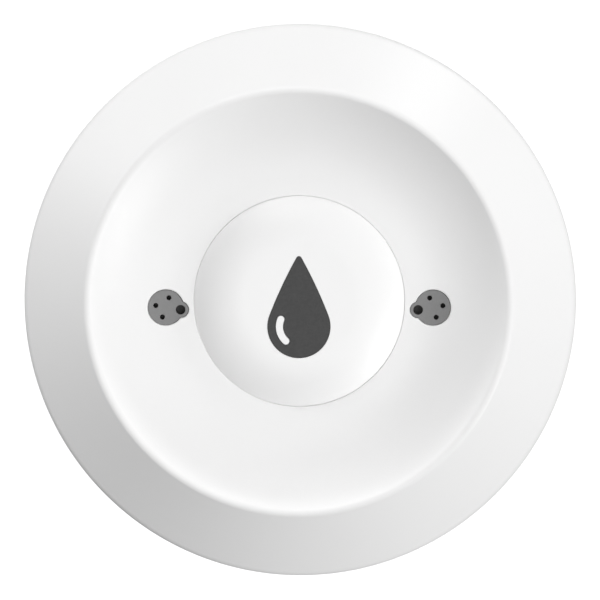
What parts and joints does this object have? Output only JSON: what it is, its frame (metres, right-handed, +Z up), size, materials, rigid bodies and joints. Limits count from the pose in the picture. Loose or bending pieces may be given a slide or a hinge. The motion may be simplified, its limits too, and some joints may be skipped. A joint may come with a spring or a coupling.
{
  "type": "water leak sensor",
  "caption": "Round white water leak sensor puck with dished top, domed press button with a drop mark, sound ports, floor probes and a twist-off battery door.",
  "frame": {"origin": "on the floor under the centre of the puck", "axes": "+Z up out of the button, +Y towards the tip of the drop mark, +X to the right of the picture"},
  "size_m": [0.06, 0.06, 0.019],
  "materials": {
    "white_shell": "fine satin moulded white",
    "white_base": "fine spark-textured white",
    "white_button": "smooth satin white",
    "grey_mark": "dark grey second-shot inlay",
    "grey_insert": "mid grey moulded insert",
    "dark_membrane": "woven acoustic membrane",
    "silicone": "translucent silicone",
    "rubber": "matt dark rubber",
    "steel": "bright nickel-plated steel",
    "gold_plate": "gold-plated contacts",
    "brass": "bare brass and spring bronze",
    "green_board": "green solder mask",
    "dark_plastic": "black moulded component body",
    "led_white": "pale lens and body",
    "ceramic_tan": "ceramic chip parts"
  },
  "bodies": {
    "root": {"top_cover": "white_shell", "base_tray": "white_base", "left_port_grille": "grey_insert", "right_port_grille": "grey_insert", "port_membranes": "dark_membrane", "button_diaphragm": "silicone", "rubber_feet": "rubber", "probe_washers": "rubber", "housing_seal": "rubber", "housing_screws": "steel", "coin_cell": "steel", "radio_shield": "steel", "probe_screws": "gold_plate", "probe_standoffs": "brass", "negative_contact": "brass", "positive_contact": "brass", "circuit_board": "green_board", "radio_board": "green_board", "switch_body": "dark_plastic", "piezo_buzzer": "dark_plastic", "controller_chip": "dark_plastic", "status_led": "led_white", "chip_capacitors": "ceramic_tan"},
    "button": {"button_cap": "white_button", "drop_mark": "grey_mark"},
    "plunger": {"switch_plunger": "dark_plastic"},
    "door": {"battery_door": "white_base", "door_seal": "rubber"}
  },
  "joints": [
    {"name": "button_press", "type": "slide", "parent": "root", "child": "button", "axis": [0, 0, -1], "range_m": [0, 0.0005], "stiffness_N_per_m": 3000, "springref_m": -0.0002, "deforming": ["button_diaphragm"]},
    {"name": "plunger_press", "type": "slide", "parent": "root", "child": "plunger", "axis": [0, 0, -1], "range_m": [0, 0.0005]},
    {"name": "door_twist", "type": "hinge", "parent": "root", "child": "door", "pos_m": [0, 0, 0.002], "axis": [0, 0, 1], "range_deg": [-45, 0]}
  ],
  "couplings": [
    {"joint": "plunger_press", "follows": "button_press", "ratio": 1}
  ]
}
